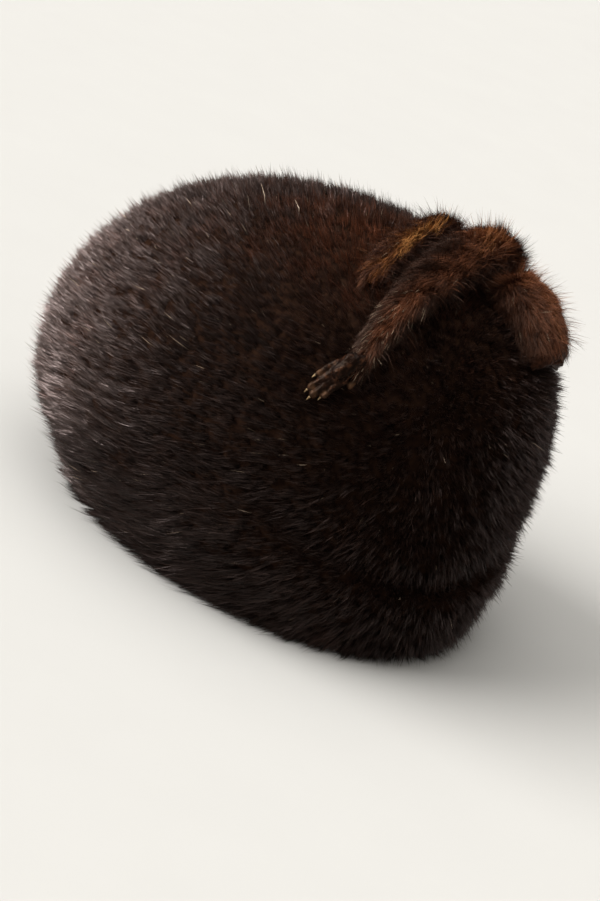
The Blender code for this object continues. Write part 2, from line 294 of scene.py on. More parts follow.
def relief(points, rows, seed=0):
    """A sum of waves: columns amount, wavelength, and own seed, to which the seed is added."""
    return sum(amount * waves(points, wavelength, seed + own) for amount, wavelength, own in rows)


def linear(hex_colour):
    """The linear colour of an sRGB hex value."""
    values = [int(hex_colour[i : i + 2], 16) / 255 for i in (1, 3, 5)]
    return [v / 12.92 if v <= 0.04045 else ((v + 0.055) / 1.055) ** 2.4 for v in values] + [1.0]


def add_node(tree, kind, inputs=(), stops=(), **settings):
    """A node with its settings. An input is a value or a node's socket, and stops are a ramp's."""
    made = tree.nodes.new(kind)
    for name, value in settings.items():
        setattr(made, name, value)
    for socket, value in dict(inputs).items():
        if isinstance(value, bpy.types.NodeSocket):
            tree.links.new(value, made.inputs[socket])
        else:
            made.inputs[socket].default_value = value
    for number, (place, colour) in enumerate(stops):
        elements = made.color_ramp.elements
        element = elements[number] if number < 2 else elements.new(place)
        element.position, element.color = place, colour
    return made


def new_material(name):
    """(material, its node tree, its Principled shader)."""
    material = bpy.data.materials.new(name)
    material.use_nodes = True
    tree = material.node_tree
    return material, tree, tree.nodes["Principled BSDF"]


# A fur piece's map holds how pale a hair is (across) and how far up it one is (up).
FUR_MAP = "OFBake"
TONE_WIDTH = 0.008
# Hair is keratin. It is in shade up to the first share of its length, and clear from the next on.
KERATIN_IOR = 1.55
ROOT_SHARE, CLEAR_SHARE = 0.1, 0.85
ROUGHER_AT_ROOT = 0.25


def fur_material(name, tones, root_shade, roughness, specular, gloss_tint):
    """Mink hair: glossy guard hair over dull roots. Tones are rows of paleness and hex colour."""
    material, tree, shader = new_material(name)
    place = add_node(tree, "ShaderNodeUVMap", uv_map=FUR_MAP)
    parts = add_node(tree, "ShaderNodeSeparateXYZ", {"Vector": place.outputs["UV"]})
    tone = add_node(tree, "ShaderNodeValToRGB", {"Fac": parts.outputs["X"]},
                    [(at, linear(colour)) for at, colour in tones])
    depth = add_node(tree, "ShaderNodeMapRange", {
        "Value": parts.outputs["Y"], "From Min": ROOT_SHARE, "From Max": CLEAR_SHARE,
        "To Min": root_shade, "To Max": 1.0,
    }, interpolation_type="SMOOTHSTEP")
    shaded = add_node(tree, "ShaderNodeVectorMath", {
        0: tone.outputs["Color"], 3: depth.outputs["Result"],
    }, operation="SCALE")
    tree.links.new(shaded.outputs["Vector"], shader.inputs["Base Color"])
    gloss = add_node(tree, "ShaderNodeMapRange", {
        "Value": parts.outputs["Y"], "To Min": roughness + ROUGHER_AT_ROOT, "To Max": roughness,
    })
    tree.links.new(gloss.outputs["Result"], shader.inputs["Roughness"])
    shader.inputs["IOR"].default_value = KERATIN_IOR
    shader.inputs["Specular IOR Level"].default_value = specular
    shader.inputs["Specular Tint"].default_value = linear(gloss_tint)
    return material


def in_scene(name, data):
    """A new object in the scene."""
    thing = bpy.data.objects.new(name, data)
    bpy.context.scene.collection.objects.link(thing)
    return thing


def solid_piece(name, points, faces, material, slot, fur_map=None):
    """A mesh from arrays, riding on the hat, smooth unless it is fur. The crown's axis is at 0, 0."""
    mesh = bpy.data.meshes.new(name)
    faces = np.asarray(faces)
    count, corners = faces.shape
    mesh.vertices.add(len(points))
    mesh.vertices.foreach_set("co", (points + (0, CROWN_AXIS_Y, 0)).astype(np.float32).ravel())
    mesh.loops.add(count * corners)
    mesh.loops.foreach_set("vertex_index", faces.astype(np.int32).ravel())
    mesh.polygons.add(count)
    mesh.polygons.foreach_set("loop_start", np.arange(0, count * corners, corners, dtype=np.int32))
    mesh.polygons.foreach_set("use_smooth", np.full(count, fur_map is None))
    if fur_map is not None:
        layer = mesh.uv_layers.new(name=FUR_MAP)
        layer.uv.foreach_set("vector", fur_map[faces.ravel()].astype(np.float32).ravel())
    mesh.update(calc_edges=True)
    mesh.materials.append(material)
    piece = in_scene(name, mesh)
    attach(piece, "root")
    return piece


def grid_faces(rows, columns, wrap):
    """Quads over a grid of points, row by row, closed round if wrap."""
    row, column = np.meshgrid(np.arange(rows - 1), np.arange(columns - (not wrap)), indexing="ij")
    after = (column + 1) % columns
    corners = (row * columns + column, (row + 1) * columns + column,
               (row + 1) * columns + after, row * columns + after)
    return np.stack(corners, -1).reshape(-1, 4)


def closed_rings(rings, count):
    """Triangles over rings of equal count in order, closed by the last two points at their ends."""
    faces = grid_faces(rings, count, True)
    here, after = np.arange(count), (np.arange(count) + 1) % count
    last = (rings - 1) * count
    return np.vstack([faces[:, (0, 1, 2)], faces[:, (0, 2, 3)],
                      np.stack([np.full(count, rings * count), here, after], -1),
                      np.stack([np.full(count, rings * count + 1), last + after, last + here], -1)])


def joined(parts):
    """Several bodies, each of points, triangles and perhaps a map, as one."""
    points, triangles, *maps = zip(*parts)
    starts = np.cumsum([0] + [len(each) for each in points[:-1]])
    triangles = np.vstack([each + start for each, start in zip(triangles, starts)])
    return (np.vstack(points), triangles, *(np.vstack(each) for each in maps))


# A guard hair narrows to this share of its width at its middle, which its map calls the second one.
MIDDLE_WIDTH, MIDDLE_UP = 0.8, 0.55
WOOL_ROOT_UP = 0.3


def hair(roots, starts, ends, normals, lengths, widths, twists, tones, segments):
    """(points, triangles, map) of flat tapered hairs, bent once in the middle.

    A hair runs half its length along its start and half along its end. Its width is turned about it
    by its twist from lying flat. One segment gives a triangle, and two give three."""
    count = len(roots)
    half = lengths[:, None] / 2
    middle = roots + starts * half
    tip = middle + ends * half
    flat = unit(np.cross(starts, normals))
    raised = np.cross(flat, starts)
    wide = flat * np.cos(twists)[:, None] + raised * np.sin(twists)[:, None]
    wide = wide * (widths / 2)[:, None]
    if segments == 1:
        rings = [roots - wide, roots + wide, tip]
        places = [(-1, WOOL_ROOT_UP), (1, WOOL_ROOT_UP), (0, 1.0)]
        triangles = [(0, 1, 2)]
    else:
        narrow = wide * MIDDLE_WIDTH
        rings = [roots - wide, roots + wide, middle - narrow, middle + narrow, tip]
        places = [(-1, 0.0), (1, 0.0), (-1, MIDDLE_UP), (1, MIDDLE_UP), (0, 1.0)]
        triangles = [(0, 1, 3), (0, 3, 2), (2, 3, 4)]
    points = np.stack(rings, 1).reshape(-1, 3)
    first = (np.arange(count) * len(rings))[:, None, None]
    faces = (first + np.array(triangles)[None]).reshape(-1, 3)
    across, up = np.array(places).T
    pale = tones[:, None] + across * TONE_WIDTH / 2
    spots = np.stack([pale, np.broadcast_to(up, pale.shape)], -1)
    return points, faces, spots.reshape(-1, 2)


# Every coat: a hair's bend and its scatter, how strongly a clump draws its lower and upper halves
# together, its widest twist from lying flat, and how its width varies.
BEND, BEND_SCATTER = 0.16, 0.08
LOWER_PULL, UPPER_PULL = 0.7, 1.3
WIDEST_TWIST = 1.1
WIDTH_RANGE = (0.7, 1.25)
LEAST_HAIR = 1.5 * MM
LEAN_LIMITS = (0.3, 1.5)
# Long guard hairs are mostly short of the longest by this power.
LONG_POWER = 1.6
# Tones of a coat's own hairs and of its odd silvery ones, as places on the material's ramp.
TONE_LIMITS = (0.02, 0.93)
SILVER_TONE = 0.985
SWELL_SCATTER = 0.3 * MM
GATHER_RANGE = (0.7, 1.3)
# Triangles in a hair of each kind.
HAIR_TRIANGLES = (("guard", 3), ("wool", 1))


def lay_fur(random, frames, coat, look, root_of, kind):
    """(points, triangles, map) of the hairs of one kind in every clump, whose tips draw together.

    Frames are the clumps' centres, normals, flows and sides, and look is their swell, gather, sway,
    lean and paleness. A hair leans and turns from the flow as its clump does, and its tip's height
    gives its length."""
    centre, normal, flow, side = frames
    swell, gather, sway, lean, paleness = look
    guard = kind == "guard"
    shape = (len(centre), coat[kind])
    spread = random.normal(0, coat["radius"], (*shape, 2))
    near = centre[:, None] + flow[:, None] * spread[..., :1] + side[:, None] * spread[..., 1:]
    roots = root_of(near)
    middle, scatter = coat[kind + "_height"]
    height = random.normal(middle, scatter, shape) + swell[:, None]
    if guard:
        low, high = coat["long_height"]
        long_one = random.random(shape) < coat["long_share"]
        height = np.where(long_one, low + (high - low) * random.random(shape) ** LONG_POWER, height)
    tilt = lean[:, None] + random.normal(0, coat["lean_scatter"], shape)
    if guard:
        tilt = tilt + long_one * coat["long_lift"]
    turn = sway[:, None] + random.normal(0, coat["sway_scatter"], shape)
    bend = random.normal(BEND, BEND_SCATTER, shape)
    starts, ends = (
        (np.cos(angle) * np.cos(turn))[..., None] * flow[:, None]
        + (np.cos(angle) * np.sin(turn))[..., None] * side[:, None]
        + np.sin(angle)[..., None] * normal[:, None]
        for angle in (tilt + bend, tilt - bend)
    )
    length = np.maximum(coat["skin"] + height, LEAST_HAIR) / np.sin(np.clip(tilt, *LEAN_LIMITS))
    hold = gather if guard else gather * coat["wool_gather"]
    drawn = -hold[:, None, None] * spread / length[..., None]
    pull = flow[:, None] * drawn[..., :1] + side[:, None] * drawn[..., 1:]
    starts, ends = unit(starts + pull * LOWER_PULL), unit(ends + pull * UPPER_PULL)
    twist = random.uniform(-WIDEST_TWIST, WIDEST_TWIST, shape)
    tone = np.clip(paleness[:, None] + random.normal(0, coat["tone_scatter"], shape), *TONE_LIMITS)
    tone = np.where(random.random(shape) < coat["pale_share"], SILVER_TONE, tone)
    widths = coat[kind + "_width"] * random.uniform(*WIDTH_RANGE, shape)
    normals = np.broadcast_to(normal[:, None], (*shape, 3))
    values = (roots, starts, ends, normals, length, widths, twist, tone)
    flat = [value.reshape(-1, *value.shape[2:]) for value in values]
    return hair(*flat, 2 if guard else 1)


def tufts(random, coat, count):
    """(swell, gather) of clumps: a share of them stand up as drawn-out tufts."""
    standing = random.random(count) < coat["tuft_share"]
    scatter = random.normal(0, SWELL_SCATTER, count)
    swell = scatter + standing * coat["tuft_height"] * random.random(count)
    low, high = coat["gather"]
    return swell, np.where(standing, high, low) * random.uniform(*GATHER_RANGE, count)


# Crown's coat. Skin is how far below the outline a hair is rooted. Heights over the outline are mean
# and scatter. Long_height and gather are least and most.
CROWN_SEED = 11
CLUMPS = 24000
CANDIDATES = 8
CROWN_SHARES = (0.004, 0.998)
CROWN_COAT = {
    "guard": 5, "wool": 11, "skin": 5.0 * MM, "radius": 0.95 * MM,
    "guard_height": (1.0 * MM, 0.8 * MM), "wool_height": (-0.3 * MM, 0.7 * MM),
    "long_share": 0.16, "long_height": (2.5 * MM, 8.0 * MM), "long_lift": 0.05,
    "tuft_share": 0.35, "tuft_height": 3.4 * MM, "gather": (0.5, 0.9), "wool_gather": 0.2,
    "lean_scatter": 0.06, "sway_scatter": 0.08, "tone_scatter": 0.06,
    "pale_share": 0.002, "guard_width": 0.32 * MM, "wool_width": 0.46 * MM,
}
CROWN_SWAY = ((0.16, 45 * MM, 1), (0.12, 12 * MM, 2))
CROWN_LEAN = ((0.07, 20 * MM, 3),)
CROWN_SWELL = ((0.4 * MM, 16 * MM, 4),)
CROWN_PATCHES = ((0.06, 26 * MM, 5),)
SWAY_SCATTER, LEAN_SCATTER, TONE_SCATTER = 0.09, 0.06, 0.04
QUARTERS = ("front", "left", "back", "right")
# Hair is raised this clear of the floor, and pushed out by a share of its rise.
FLOOR_CLEARANCE = 0.5 * MM
PUSHED_OUT = 0.8
# Lean from the skin where the combing is at full strength, the way that the hair is combed forwards,
# and how strong that is on top, at the sides and at the rim, against the way down behind.
LEAN = math.radians(48)
FORWARD = np.array((0.0, -0.98, 0.2))
FORWARD_ON_TOP, FORWARD_AT_SIDES, FORWARD_AT_RIM = 0.3, 0.6, 0.75
TOWARDS_RIM = (0.4, 0.95)
DOWN_BEHIND = 0.62
# Painted sheen: the fur is paler and glossier on the side turned to the light, over the forehead and
# the front of the top, and else dull: by the cosine between its normal and this side.
PAINTED_SHEEN_SIDE = np.array((0.2, -0.9, 0.25))
PAINTED_SHEEN_LIMITS = (0.30, 0.68)
# Painted shade: hair facing this side, on the wearer's left, is painted darker where it has no painted
# sheen, by the same measure.
PAINTED_SHADE_SIDE = np.array((0.85, -0.45, -0.2))
PAINTED_SHADE_LIMITS = (0.35, 0.85)
# Paleness of the coat, and what the painted sheen, the painted shade or being next to the browner trim
# adds to it.
PALENESS, PAINTED_SHEEN_ADDS, PAINTED_SHADE_ADDS, TRIM_ADDS = 0.36, 0.10, -0.24, 0.42
TRIM_PLACE = np.array((0.030, 0.010, 0.180))
TRIM_REACH = 0.055


def spread_over_crown(count, random):
    """(bearings, shares) spread evenly by area: candidates are kept by their patches' size."""
    bearing = random.uniform(0, 2 * math.pi, CANDIDATES * count)
    share = random.uniform(*CROWN_SHARES, CANDIDATES * count)
    step = 1e-3
    down = crown_surface(bearing, share + step) - crown_surface(bearing, share)
    round_ = crown_surface(bearing + step, share) - crown_surface(bearing, share)
    patch = np.linalg.norm(np.cross(down, round_), axis=-1)
    chosen = random.choice(len(bearing), count, replace=False, p=patch / patch.sum())
    return bearing[chosen], share[chosen]


def crown_fur():
    """Hair of the crown in four quarters."""
    random = np.random.default_rng(CROWN_SEED)
    bearing, share = spread_over_crown(CLUMPS, random)
    centre = crown_surface(bearing, share)
    normal, down = surface_frames(crown_surface, bearing, share, 2e-3)
    flow, lean = comb(bearing, share, normal, down)
    sway = relief(centre, CROWN_SWAY) + random.normal(0, SWAY_SCATTER, CLUMPS)
    lean = lean + relief(centre, CROWN_LEAN) + random.normal(0, LEAN_SCATTER, CLUMPS)
    swell, gather = tufts(random, CROWN_COAT, CLUMPS)
    swell += relief(centre, CROWN_SWELL)
    near_trim = np.exp(-((np.linalg.norm(centre - TRIM_PLACE, axis=1) / TRIM_REACH) ** 2))
    # Painted sheen: hair on the side turned to the light is paler, and more of its clumps are glossy.
    painted_sheen = eased(normal @ unit(PAINTED_SHEEN_SIDE), *PAINTED_SHEEN_LIMITS)
    # Painted shade: darker hair on the wearer's left, outside the painted sheen.
    painted_shade = np.interp(normal @ unit(PAINTED_SHADE_SIDE), PAINTED_SHADE_LIMITS, (0, 1))
    paleness = PALENESS + PAINTED_SHEEN_ADDS * painted_sheen + PAINTED_SHADE_ADDS * painted_shade * (1 - painted_sheen)
    paleness += TRIM_ADDS * near_trim
    paleness += relief(centre, CROWN_PATCHES) + random.normal(0, TONE_SCATTER, CLUMPS)
    # Clumps take the glossy hair by the painted sheen's strength.
    in_painted_sheen = random.random(CLUMPS) < painted_sheen
    quarter = (np.degrees(np.arctan2(centre[:, 0], -centre[:, 1])) + 45) % 360 // 90

    def root_of(near):
        points = lifted(near, 0.0)
        return points - unit(points) * (CROWN_COAT["skin"] + tuck_depth(points))[..., None]

    for number, name in enumerate(QUARTERS):
        own = quarter == number
        frames = [values[own] for values in (centre, normal, flow, np.cross(normal, flow))]
        look = [values[own] for values in (swell, gather, sway, lean, paleness)]
        points, faces, spots = joined([lay_fur(random, frames, CROWN_COAT, look, root_of, kind)
                                       for kind, _ in HAIR_TRIANGLES])
        piece = solid_piece("crown_fur_" + name, off_the_floor(points), faces, FINISH["dark_mink"],
                            "dark_mink", spots)
        piece.data.materials.append(FINISH["dull_mink"])
        dull = [np.repeat(~in_painted_sheen[own], CROWN_COAT[kind] * each) for kind, each in HAIR_TRIANGLES]
        piece.data.polygons.foreach_set("material_index", np.concatenate(dull).astype(np.int32))
        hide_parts("crown")


def comb(bearing, share, normal, down):
    """(unit flow, lean) of the coat: combed down at the back, and forwards at the rim and forehead.

    The flow is a sum of the way down, most of it at the back, and of the way forward laid on the
    surface, most of it at the rim. Where the sum is short the hair stands nearly upright."""
    rearward = (1 - np.cos(bearing)) / 2
    forward = FORWARD_ON_TOP + FORWARD_AT_SIDES * np.abs(normal[:, 0])
    forward += FORWARD_AT_RIM * eased(share, *TOWARDS_RIM)
    laid = FORWARD - normal * (normal @ FORWARD)[:, None]
    flow = down * (DOWN_BEHIND * rearward)[:, None] + laid * forward[:, None]
    strength = np.linalg.norm(flow, axis=1)
    return unit(flow), np.arctan2(math.sin(LEAN), math.cos(LEAN) * strength)


def off_the_floor(points):
    """Points too near the floor are raised clear of it, and pushed out by a share of their rise."""
    rise = np.maximum(FLOOR_CLEARANCE - points[:, 2], 0)
    points = points.copy()
    points[:, :2] += unit(points[:, :2]) * (PUSHED_OUT * rise)[:, None]
    points[:, 2] += rise
    return points


# Wool under the crown's guard hair, and the pelt's inner wall.
UNDERCOAT_DEPTH = 2.8 * MM
UNDERCOAT_RELIEF = ((0.5 * MM, 3.2 * MM, 21), (0.6 * MM, 9 * MM, 22))
UNDERCOAT_COLUMNS, UNDERCOAT_ROWS, INNER_WALL_ROWS = 200, 90, 30
UNDERCOAT_SHARES = (0.01, 0.985)
RIM_INSET = 2.5 * MM


def crown_undercoat():
    """Wool under the guard hair and the pelt inside it: one closed shell round the head hollow."""
    columns = UNDERCOAT_COLUMNS
    bearing = np.arange(columns) * 2 * math.pi / columns
    outer = []
    for share in np.linspace(*UNDERCOAT_SHARES, UNDERCOAT_ROWS):
        points = crown_surface(bearing, np.full(columns, share))
        depth = UNDERCOAT_DEPTH + relief(points, UNDERCOAT_RELIEF)
        outer.append(points - unit(points) * depth[:, None])
    table = np.array(INNER_ROWS)
    inner = []
    for share in np.linspace(1.0, UNDERCOAT_SHARES[0], INNER_WALL_ROWS):
        wall = np.interp(share, table[::-1, 0], table[::-1, 1])
        directions = unit(knot_to_rim(bearing, np.full(columns, share)))
        inner.append(directions * (reach(directions) - wall)[:, None])
    rim_out = crown_surface(bearing, np.full(columns, 1.0), -RIM_INSET)
    rim_out[:, 2] = FLOOR_CLEARANCE
    inner[0][:, 2] = FLOOR_CLEARANCE
    rings = outer + [rim_out] + inner
    knot = knot_to_rim(bearing[:1], np.zeros(1))
    top = crown_surface(bearing[:1], np.zeros(1), -UNDERCOAT_DEPTH)
    under = knot * (reach(knot) - table[-1, 1])[:, None]
    triangles = closed_rings(len(rings), columns)
    piece = solid_piece("crown_undercoat", np.vstack([*rings, top, under]), triangles,
                        FINISH["dark_wool"], "dark_mink")
    piece.data.materials.append(FINISH["pelt_inside"])
    top_corner = len(rings) * columns
    inside = (triangles >= (len(outer) + 1) * columns).all(1) & (triangles != top_corner).all(1)
    piece.data.polygons.foreach_set("material_index", inside.astype(np.int32))
    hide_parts("crown")


# A strip's shells: how far inside its arch, how rough, rows, sides. The roughness has this grain.
WOOL_SHELL = (2.2 * MM, 0.25 * MM, 60, 31)
LEATHER_SHELL = (0.0, 0.2 * MM, 24, 61)
SHELL_GRAIN = 2.5 * MM


def strip_shell(name, table, sink, rough, rows, sides, material, slot, ragged=0.0):
    """A closed body under a strip's arch, with a flat underside on the crown.

    Two sines across it fray its far end by the ragged share of its length."""
    upper = np.linspace(-1, 1, sides)
    lower = np.sin(np.linspace(1, -1, sides // 2)[1:-1] * math.pi / 2)
    blend = ((1 - lower) / 2)[:, None]
    frayed = ragged * (0.6 * np.sin(9 * upper + 1) + 0.4 * np.sin(23 * upper))
    rings = []
    for share in np.linspace(0, 1, rows):
        arch = strip_surface(table, share * (1 + frayed), upper, sink)
        arch = arch + unit(arch) * (rough * waves(arch, SHELL_GRAIN, 31))[:, None]
        base = lifted(arch[-1] * (1 - blend) + arch[0] * blend, GAP)
        rings.append(np.vstack([arch, base]))
    points = np.vstack([*rings, rings[0].mean(0), rings[-1].mean(0)])
    triangles = outwards(points, closed_rings(rows, len(rings[0])))
    return solid_piece(name, points, triangles, material, slot)


def outwards(points, triangles):
    """The triangles, turned round if together they enclose a negative volume."""
    a, b, c = (points[triangles[:, k]] for k in range(3))
    volume = (a * np.cross(b, c)).sum()
    return triangles if volume > 0 else triangles[:, ::-1]


# Coat of the strips, where it differs from the crown's.
STRIP_COAT = CROWN_COAT | {
    "wool": 13, "skin": 3.4 * MM, "radius": 0.9 * MM,
    "guard_height": (0.5 * MM, 0.6 * MM), "wool_height": (-0.2 * MM, 0.4 * MM),
    "long_share": 0.10, "long_height": (2.5 * MM, 12.5 * MM), "long_lift": 0.75,
    "tuft_share": 0.10, "tuft_height": 1.2 * MM, "gather": (0.2, 0.5),
    "lean_scatter": 0.07, "sway_scatter": 0.09, "guard_width": 0.22 * MM, "wool_width": 0.32 * MM,
}
STRIP_CANDIDATES = 6
FIRST_SHARE = -0.02
STRIP_SWAY = ((0.16, 18 * MM, 0), (0.10, 7 * MM, 1))
STRIP_LEAN = ((0.10, 12 * MM, 2),)
STRIP_PATCHES = ((0.08, 9 * MM, 4),)
# Paleness of the painted highlight on the crest at full strength, and of the painted shade behind it.
# Between these turns over the strip the front side's paleness becomes the back side's, and the back
# edge is darker still, a deeper painted shade.
CREST_HIGHLIGHT_PALENESS, BACK_SHADE_PALENESS = 0.84, 0.16
FRONT_TO_BACK = (-0.3, 0.5)
BACK_EDGE_SHADE_ADDS = -0.14
# Palest line of a strip, a highlight painted along its lit ridge: columns share of its length, turn
# over it, half width, strength.
CRESTS = {
    "left_leg": ((0.0, 0.0, 0.6, 0.5), (0.14, 0.0, 0.7, 0.9), (0.3, -0.1, 0.6, 1.3),
                 (0.45, 0.2, 0.4, 0.8), (0.65, 0.3, 0.4, 0.62), (0.8, 0.05, 0.42, 0.62),
                 (0.93, 0.0, 0.4, 0.55), (1.0, 0.0, 0.4, 0.45)),
    "back_leg": ((0.0, 0.0, 0.8, 1.0), (0.3, 0.2, 0.7, 1.0), (0.8, 0.1, 0.7, 0.85),
                 (1.0, 0.0, 0.7, 0.6)),
    "top_fold": ((0.0, 0.1, 0.4, 0.45), (0.2, 0.1, 0.25, 0.6), (0.35, 0.15, 0.2, 1.3),
                 (0.62, 0.2, 0.2, 1.2), (0.75, 0.2, 0.22, 0.8), (0.85, 0.2, 0.3, 0.4),
                 (1.0, 0.2, 0.3, 0.3)),
}
# Shares of a strip's length: where its far end's hair stands up as a ruff, where that end turns from a
# part of its paleness, a painted shade, to all of it, and where silvery hairs come in.
RUFF_SHARE = 0.16
FAR_END = (0.02, 0.2)
FROSTED = (0.75, 1.0)
# Columns name, path, finish, clumps of hair, where they end, lean in degrees, flow aside by the flow
# along, paleness of the front side (a painted shade), height of the ruff, part of the paleness kept at
# the far end (a painted shade), share of silvery hairs at the near end, seed.
FUR_STRIPS = (
    ("left_leg", LEFT_LEG, "brown_mink", 4200, 1.03, 27, 0.5, 0.20, 2.6 * MM, 0.2, 0.035, 41),
    ("back_leg", BACK_LEG, "brown_mink", 2200, 0.97, 30, 0.3, 0.25, 0.0, 1.0, 0.0, 51),
    ("top_fold", TOP_FOLD, "golden_mink", 1900, 0.98, 24, 0.5, 0.40, 2.6 * MM, 0.2, 0.0, 61),
)


def strip_fur(name, node, table, finish, clumps, last, lean, flow_aside, front, ruff, far_end_shade,
              frost, seed):
    """Hair of a strip. It flows along and outwards from the crest, the strip's palest line, along
    which a highlight is painted, with painted shade on its sides.
    """
    random = np.random.default_rng(seed)
    tries = STRIP_CANDIDATES * clumps
    shares, turn = random.uniform(FIRST_SHARE, last, tries), random.uniform(-1, 1, tries)
    _, half_widths, tallest = strip_line(table, shares)
    girth = half_widths + tallest
    chosen = random.choice(tries, clumps, replace=False, p=girth / girth.sum())
    shares, turn = shares[chosen], turn[chosen]
    centre = strip_surface(table, shares, turn)
    step = 4e-3
    normal, along = surface_frames(lambda over, share: strip_surface(table, share, over), turn,
                                   np.clip(shares, 2 * step, 1 - 2 * step), step)
    at, crest_turn, crest_width, crest_strength = np.array(CRESTS[node]).T
    off_crest = turn - np.interp(shares, at, crest_turn)
    flow = unit(along + np.cross(normal, along) * (off_crest * flow_aside)[:, None])
    sway = relief(centre, STRIP_SWAY, seed)
    leans = math.radians(lean) + relief(centre, STRIP_LEAN, seed)
    leans += random.normal(0, LEAN_SCATTER, clumps)
    swell, gather = tufts(random, STRIP_COAT, clumps)
    swell += ruff * np.exp(-((shares / RUFF_SHARE) ** 2))
    # Painted highlight along the crest, painted shade on the front and back sides, darkest at the back
    # edge.
    crest = np.exp(-((off_crest / np.interp(shares, at, crest_width)) ** 2))
    crest *= np.interp(shares, at, crest_strength)
    base = np.interp(turn, FRONT_TO_BACK, (front, BACK_SHADE_PALENESS))
    paleness = base + (CREST_HIGHLIGHT_PALENESS - base) * crest + BACK_EDGE_SHADE_ADDS * np.maximum(turn, 0) ** 4
    paleness += relief(centre, STRIP_PATCHES, seed) + random.normal(0, TONE_SCATTER, clumps)
    # Painted shade at the strip's far end: only a part of its paleness is kept there.
    paleness *= np.interp(shares, FAR_END, (far_end_shade, 1.0))
    silvery = STRIP_COAT["pale_share"] + frost * np.interp(shares, FROSTED, (0, 1))
    coat = STRIP_COAT | {"pale_share": silvery[:, None]}
    frames = (centre, normal, flow, np.cross(normal, flow))
    look = (swell, gather, sway, leans, paleness)

    def root_of(near):
        return near - normal[:, None] * coat["skin"]

    points, faces, spots = joined([lay_fur(random, frames, coat, look, root_of, kind)
                                   for kind, _ in HAIR_TRIANGLES])
    piece = solid_piece(name, points, faces, FINISH[finish], finish, spots)
    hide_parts(node)


def strips():
    """The fur strips, each as wool with hair over it, and the leather at the back leg's cut end."""
    for name, table, finish, *look in FUR_STRIPS:
        wool = strip_shell(name + "_undercoat", table, *WOOL_SHELL, FINISH["brown_wool"], finish)
        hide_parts(name)
        strip_fur(name + "_fur", name, table, finish, *look)
    edge = strip_shell("back_leg_leather", BACK_LEG_EDGE, *LEATHER_SHELL, FINISH["pelt_edge"],
                       "pelt_leather", ragged=0.4)
    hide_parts("back_leg_edge")


# Dried paw: places in plan of its wrist and its longest toe, and its limbs: columns name, along and
# across where it starts, the same where it ends, radii.
PAW_WRIST = (0.0862, 0.0498)
PAW_TOES = (0.1045, 0.0345)
PAW_LIMBS = (
    ("palm", 0.0092, -0.0010, 0.0160, 0.0005, 0.0050, 0.0046),
    ("wrist", 0.0046, 0.0000, 0.0110, -0.0005, 0.0038, 0.0044),
    ("thumb", 0.0065, 0.0042, 0.0125, 0.0076, 0.0023, 0.0017),
    ("toe_1", 0.0150, 0.0042, 0.0256, 0.0052, 0.0026, 0.0020),
    ("toe_2", 0.0170, 0.0018, 0.0302, 0.0026, 0.0026, 0.0021),
    ("toe_3", 0.0170, -0.0012, 0.0298, -0.0008, 0.0026, 0.0021),
    ("toe_4", 0.0145, -0.0042, 0.0240, -0.0046, 0.0025, 0.0019),
)
PAW_GAP, LEAST_PAW_GAP = 0.7 * MM, 0.3 * MM
LIMB_TAPER = 0.9
ROD_SIDES = 20
# Latitudes of the circles on the balls at a rod's ends, in degrees.
START_CIRCLES, END_CIRCLES = (-80, -55, -25, 0), (0, 25, 55, 80)
PAW_VOXEL = 0.42 * MM
SMOOTHING, SMOOTHINGS = 0.5, 4
# A toe's knuckle: share of the way along, rise of its ends, length as a share, radii by the toe's.
KNUCKLE_AT, KNUCKLE_RISE, KNUCKLE_LENGTH = 0.55, (0.3 * MM, 0.5 * MM), 0.02
KNUCKLE_RADII, TIP_RADII = (1.12, 1.05), (1.08, 0.95)
TIP_REACH = 0.4 * MM
# Shrunken skin: fine folds across the paw, which wander, and creases drawn out along it.
FOLD_HEIGHT, FOLD_SPACING = 0.06 * MM, 1.7 * MM
FOLD_WANDER = ((3.0, 6 * MM, 72),)
CREASES = ((0.24 * MM, 3.4 * MM, 71), (0.09 * MM, 1.4 * MM, 73))
CREASE_STRETCH = 0.6
# Paler skin at each toe's end, partly worn tan skin and partly a painted highlight on its top: how far
# over a toe's end it is palest, how far it reaches, and its patches.
PAD_RISE, PAD_REACH = 0.8 * MM, 1.4 * MM
PAD_WORN_AND_HIGHLIGHT, PAD_PATCHES = 0.75, ((0.25, 2 * MM, 74),)
# Claws: how far they stand over a toe's end and reach back into it, their bend and their taper.
CLAW_LENGTH, CLAW_RADIUS = 2.3 * MM, 0.75 * MM
CLAW_RISE, CLAW_ROOT = 0.4 * MM, 0.5 * MM
CLAW_HOOK, CLAW_TAPER = 0.55, 0.7
CLAW_SIDES, CLAW_RINGS, LAST_CLAW_RING = 14, 9, 0.94


def circle(first, second, sides):
    """Points of a unit circle, from its first axis towards its second."""
    turn = np.arange(sides)[:, None] * 2 * math.pi / sides
    return np.cos(turn) * first + np.sin(turn) * second


def rod(start, end, radius_start, radius_end):
    """(points, triangles) of a tapered rod with round ends: circles on the balls at its ends."""
    axis = unit(end - start)
    first = unit(np.cross(axis, unit(start)))
    angles = np.radians(START_CIRCLES + END_CIRCLES)
    at_end = np.arange(len(angles)) >= len(START_CIRCLES)
    radii = np.where(at_end, radius_end, radius_start)
    centres = np.where(at_end[:, None], end, start) + axis * (radii * np.sin(angles))[:, None]
    round_ = circle(first, np.cross(axis, first), ROD_SIDES)
    rings = centres[:, None] + round_ * (radii * np.cos(angles))[:, None, None]
    points = np.vstack([rings.reshape(-1, 3), start - axis * radius_start, end + axis * radius_end])
    return points, closed_rings(len(angles), ROD_SIDES)


